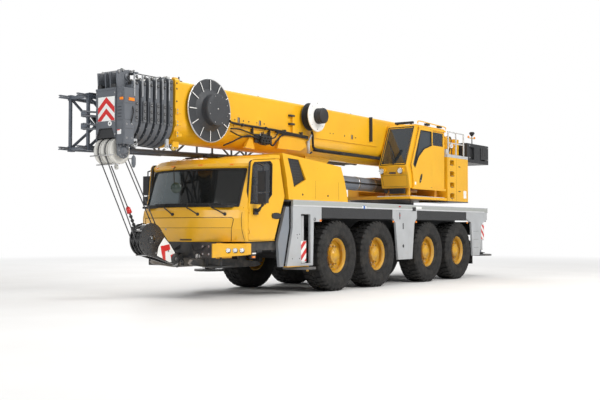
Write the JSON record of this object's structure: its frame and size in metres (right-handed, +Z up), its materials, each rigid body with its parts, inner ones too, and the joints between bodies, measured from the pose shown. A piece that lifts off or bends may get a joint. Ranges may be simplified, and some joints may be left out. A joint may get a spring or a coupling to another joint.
{
  "type": "four-axle all-terrain mobile crane",
  "caption": "Four-axle all-terrain mobile crane in travel position: telescopic boom, slewing upper works, outriggers, steered wheels and a stowed lattice jib.",
  "frame": {"origin": "on the ground, in the middle of the crane's overall length and width", "axes": "+X to the vehicle's left, +Y to its rear, +Z up"},
  "size_m": [3.18, 13.4629, 4.145],
  "materials": {
    "frame_paint": "satin",
    "deck_metal": "satin",
    "yellow_paint": "gloss",
    "window_glass": "clear",
    "black_paint": "satin",
    "grey_paint": "satin",
    "cast_metal": "rough",
    "tyre": "matte",
    "chrome_rod": "polished"
  },
  "bodies": {
    "carrier": {"chassis_frame": "frame_paint", "deck_and_fenders": "deck_metal", "carrier_cab": "yellow_paint", "cab_glass": "window_glass", "front_bumper": "black_paint", "engine_cover": "yellow_paint", "drivetrain": "cast_metal"},
    "door_left": {"door_left": "yellow_paint"},
    "door_right": {"door_right": "yellow_paint"},
    "steering_1_left": {"knuckle_1_left": "cast_metal"},
    "wheel_1_left": {"rim_1_left": "yellow_paint", "tyre_1_left": "tyre"},
    "steering_1_right": {"knuckle_1_right": "cast_metal"},
    "wheel_1_right": {"rim_1_right": "yellow_paint", "tyre_1_right": "tyre"},
    "steering_2_left": {"knuckle_2_left": "cast_metal"},
    "wheel_2_left": {"rim_2_left": "yellow_paint", "tyre_2_left": "tyre"},
    "steering_2_right": {"knuckle_2_right": "cast_metal"},
    "wheel_2_right": {"rim_2_right": "yellow_paint", "tyre_2_right": "tyre"},
    "steering_3_left": {"knuckle_3_left": "cast_metal"},
    "wheel_3_left": {"rim_3_left": "yellow_paint", "tyre_3_left": "tyre"},
    "steering_3_right": {"knuckle_3_right": "cast_metal"},
    "wheel_3_right": {"rim_3_right": "yellow_paint", "tyre_3_right": "tyre"},
    "steering_4_left": {"knuckle_4_left": "cast_metal"},
    "wheel_4_left": {"rim_4_left": "yellow_paint", "tyre_4_left": "tyre"},
    "steering_4_right": {"knuckle_4_right": "cast_metal"},
    "wheel_4_right": {"rim_4_right": "yellow_paint", "tyre_4_right": "tyre"},
    "outrigger_front_left": {"outrigger_beam_front_left": "deck_metal"},
    "jack_front_left": {"jack_front_left": "chrome_rod"},
    "outrigger_front_right": {"outrigger_beam_front_right": "deck_metal"},
    "jack_front_right": {"jack_front_right": "chrome_rod"},
    "outrigger_rear_left": {"outrigger_beam_rear_left": "deck_metal"},
    "jack_rear_left": {"jack_rear_left": "chrome_rod"},
    "outrigger_rear_right": {"outrigger_beam_rear_right": "deck_metal"},
    "jack_rear_right": {"jack_rear_right": "chrome_rod"},
    "superstructure": {"turntable": "yellow_paint", "counterweight": "black_paint"},
    "hoist_drum": {"hoist_drum": "yellow_paint"},
    "crane_cab": {"crane_cab": "yellow_paint", "crane_cab_glass": "window_glass"},
    "crane_cab_door": {"crane_cab_door": "yellow_paint"},
    "boom_base": {"boom_base": "yellow_paint"},
    "boom_section_1": {"boom_section_1": "grey_paint"},
    "boom_section_2": {"boom_section_2": "grey_paint"},
    "boom_section_3": {"boom_section_3": "grey_paint"},
    "boom_section_4": {"boom_section_4": "grey_paint"},
    "boom_section_5": {"boom_section_5": "grey_paint"},
    "boom_section_6": {"boom_section_6": "grey_paint"},
    "hose_reel": {"hose_reel": "black_paint"},
    "cable_reel": {"cable_reel": "black_paint"},
    "luffing_barrel": {"luffing_barrel": "grey_paint"},
    "luffing_rod": {"luffing_rod": "chrome_rod"},
    "lattice_jib": {"lattice_jib": "grey_paint"},
    "hook_block": {"hook_block": "black_paint"}
  },
  "joints": [
    {"name": "steer_1_left", "type": "hinge", "parent": "carrier", "child": "steering_1_left", "pos_m": [0.9, -1.225, 0.745], "axis": [0, 0, 1], "range_deg": [-30, 30]},
    {"name": "roll_1_left", "type": "hinge", "parent": "steering_1_left", "child": "wheel_1_left", "pos_m": [1.0875, -1.225, 0.745], "axis": [1, 0, 0], "continuous": true},
    {"name": "steer_1_right", "type": "hinge", "parent": "carrier", "child": "steering_1_right", "pos_m": [-0.9, -1.225, 0.745], "axis": [0, 0, 1], "range_deg": [-30, 30]},
    {"name": "roll_1_right", "type": "hinge", "parent": "steering_1_right", "child": "wheel_1_right", "pos_m": [-1.0875, -1.225, 0.745], "axis": [1, 0, 0], "continuous": true},
    {"name": "steer_2_left", "type": "hinge", "parent": "carrier", "child": "steering_2_left", "pos_m": [0.9, 0.425, 0.745], "axis": [0, 0, 1], "range_deg": [-21.6, 21.6]},
    {"name": "roll_2_left", "type": "hinge", "parent": "steering_2_left", "child": "wheel_2_left", "pos_m": [1.0875, 0.425, 0.745], "axis": [1, 0, 0], "continuous": true},
    {"name": "steer_2_right", "type": "hinge", "parent": "carrier", "child": "steering_2_right", "pos_m": [-0.9, 0.425, 0.745], "axis": [0, 0, 1], "range_deg": [-21.6, 21.6]},
    {"name": "roll_2_right", "type": "hinge", "parent": "steering_2_right", "child": "wheel_2_right", "pos_m": [-1.0875, 0.425, 0.745], "axis": [1, 0, 0], "continuous": true},
    {"name": "steer_3_left", "type": "hinge", "parent": "carrier", "child": "steering_3_left", "pos_m": [0.9, 2.865, 0.745], "axis": [0, 0, 1], "range_deg": [-12, 12]},
    {"name": "roll_3_left", "type": "hinge", "parent": "steering_3_left", "child": "wheel_3_left", "pos_m": [1.0875, 2.865, 0.745], "axis": [1, 0, 0], "continuous": true},
    {"name": "steer_3_right", "type": "hinge", "parent": "carrier", "child": "steering_3_right", "pos_m": [-0.9, 2.865, 0.745], "axis": [0, 0, 1], "range_deg": [-12, 12]},
    {"name": "roll_3_right", "type": "hinge", "parent": "steering_3_right", "child": "wheel_3_right", "pos_m": [-1.0875, 2.865, 0.745], "axis": [1, 0, 0], "continuous": true},
    {"name": "steer_4_left", "type": "hinge", "parent": "carrier", "child": "steering_4_left", "pos_m": [0.9, 4.515, 0.745], "axis": [0, 0, 1], "range_deg": [-20.4, 20.4]},
    {"name": "roll_4_left", "type": "hinge", "parent": "steering_4_left", "child": "wheel_4_left", "pos_m": [1.0875, 4.515, 0.745], "axis": [1, 0, 0], "continuous": true},
    {"name": "steer_4_right", "type": "hinge", "parent": "carrier", "child": "steering_4_right", "pos_m": [-0.9, 4.515, 0.745], "axis": [0, 0, 1], "range_deg": [-20.4, 20.4]},
    {"name": "roll_4_right", "type": "hinge", "parent": "steering_4_right", "child": "wheel_4_right", "pos_m": [-1.0875, 4.515, 0.745], "axis": [1, 0, 0], "continuous": true},
    {"name": "door_left_swing", "type": "hinge", "parent": "carrier", "child": "door_left", "pos_m": [1.285, -4.195, 1.5], "axis": [0, 0, -1], "range_deg": [0, 70]},
    {"name": "door_right_swing", "type": "hinge", "parent": "carrier", "child": "door_right", "pos_m": [-1.285, -4.195, 1.5], "axis": [0, 0, 1], "range_deg": [0, 70]},
    {"name": "outrigger_front_left_slide", "type": "slide", "parent": "carrier", "child": "outrigger_front_left", "axis": [1, 0, 0], "range_m": [0, 1.85]},
    {"name": "jack_front_left_slide", "type": "slide", "parent": "outrigger_front_left", "child": "jack_front_left", "axis": [0, 0, -1], "range_m": [0, 0.6]},
    {"name": "outrigger_front_right_slide", "type": "slide", "parent": "carrier", "child": "outrigger_front_right", "axis": [-1, 0, 0], "range_m": [0, 1.85]},
    {"name": "jack_front_right_slide", "type": "slide", "parent": "outrigger_front_right", "child": "jack_front_right", "axis": [0, 0, -1], "range_m": [0, 0.6]},
    {"name": "outrigger_rear_left_slide", "type": "slide", "parent": "carrier", "child": "outrigger_rear_left", "axis": [1, 0, 0], "range_m": [0, 1.85]},
    {"name": "jack_rear_left_slide", "type": "slide", "parent": "outrigger_rear_left", "child": "jack_rear_left", "axis": [0, 0, -1], "range_m": [0, 0.6]},
    {"name": "outrigger_rear_right_slide", "type": "slide", "parent": "carrier", "child": "outrigger_rear_right", "axis": [-1, 0, 0], "range_m": [0, 1.85]},
    {"name": "jack_rear_right_slide", "type": "slide", "parent": "outrigger_rear_right", "child": "jack_rear_right", "axis": [0, 0, -1], "range_m": [0, 0.6]},
    {"name": "slew", "type": "hinge", "parent": "carrier", "child": "superstructure", "pos_m": [0, 2.775, 1.95], "axis": [0, 0, 1], "continuous": true},
    {"name": "hoist_turn", "type": "hinge", "parent": "superstructure", "child": "hoist_drum", "pos_m": [0, 5.925, 3.42], "axis": [1, 0, 0], "continuous": true},
    {"name": "crane_cab_tilt", "type": "hinge", "parent": "superstructure", "child": "crane_cab", "pos_m": [0.9, 4.01, 3.35], "axis": [-1, 0, 0], "range_deg": [0, 20]},
    {"name": "crane_cab_door_slide", "type": "slide", "parent": "crane_cab", "child": "crane_cab_door", "axis": [0, 1, 0], "range_m": [0, 0.7]},
    {"name": "boom_luff", "type": "hinge", "parent": "superstructure", "child": "boom_base", "pos_m": [0, 4.775, 3.3], "axis": [-1, 0, 0], "range_deg": [0, 82]},
    {"name": "section_1_slide", "type": "slide", "parent": "boom_base", "child": "boom_section_1", "axis": [0, -1, 0], "range_m": [0, 8]},
    {"name": "section_2_slide", "type": "slide", "parent": "boom_section_1", "child": "boom_section_2", "axis": [0, -1, 0], "range_m": [0, 8]},
    {"name": "section_3_slide", "type": "slide", "parent": "boom_section_2", "child": "boom_section_3", "axis": [0, -1, 0], "range_m": [0, 8]},
    {"name": "section_4_slide", "type": "slide", "parent": "boom_section_3", "child": "boom_section_4", "axis": [0, -1, 0], "range_m": [0, 8]},
    {"name": "section_5_slide", "type": "slide", "parent": "boom_section_4", "child": "boom_section_5", "axis": [0, -1, 0], "range_m": [0, 8]},
    {"name": "section_6_slide", "type": "slide", "parent": "boom_section_5", "child": "boom_section_6", "axis": [0, -1, 0], "range_m": [0, 8]},
    {"name": "hose_reel_turn", "type": "hinge", "parent": "boom_base", "child": "hose_reel", "pos_m": [0.6, -4.345, 3.545], "axis": [1, 0, 0], "continuous": true},
    {"name": "cable_reel_turn", "type": "hinge", "parent": "boom_base", "child": "cable_reel", "pos_m": [0.6, -1.025, 3.76], "axis": [1, 0, 0], "continuous": true},
    {"name": "luffing_barrel_turn", "type": "hinge", "parent": "superstructure", "child": "luffing_barrel", "pos_m": [0, 3.525, 2.39], "axis": [-1, 0, 0], "range_deg": [0, 86.03]},
    {"name": "luffing_rod_slide", "type": "slide", "parent": "luffing_barrel", "child": "luffing_rod", "axis": [0, -0.9999, 0.012], "range_m": [0, 1.99811]},
    {"name": "jib_swing", "type": "hinge", "parent": "boom_section_6", "child": "lattice_jib", "pos_m": [-0.3695, -6.68, 3.2], "axis": [0, 0, 1], "range_deg": [0, 180]},
    {"name": "hook_hoist", "type": "slide", "parent": "boom_section_6", "child": "hook_block", "axis": [0, -0.537, 0.8436], "range_m": [0, 0.8]}
  ],
  "couplings": [
    {"joint": "steer_1_right", "follows": "steer_1_left", "ratio": 1},
    {"joint": "steer_2_left", "follows": "steer_1_left", "ratio": 0.72},
    {"joint": "steer_2_right", "follows": "steer_1_left", "ratio": 0.72},
    {"joint": "steer_3_left", "follows": "steer_1_left", "ratio": -0.4},
    {"joint": "steer_3_right", "follows": "steer_1_left", "ratio": -0.4},
    {"joint": "steer_4_left", "follows": "steer_1_left", "ratio": -0.68},
    {"joint": "steer_4_right", "follows": "steer_1_left", "ratio": -0.68},
    {"joint": "section_2_slide", "follows": "section_1_slide", "ratio": 1},
    {"joint": "section_3_slide", "follows": "section_1_slide", "ratio": 1},
    {"joint": "section_4_slide", "follows": "section_1_slide", "ratio": 1},
    {"joint": "section_5_slide", "follows": "section_1_slide", "ratio": 1},
    {"joint": "section_6_slide", "follows": "section_1_slide", "ratio": 1},
    {"joint": "luffing_barrel_turn", "follows": "boom_luff", "ratio": 1.049},
    {"joint": "luffing_rod_slide", "follows": "boom_luff", "m_per_rad": 1.3958}
  ]
}
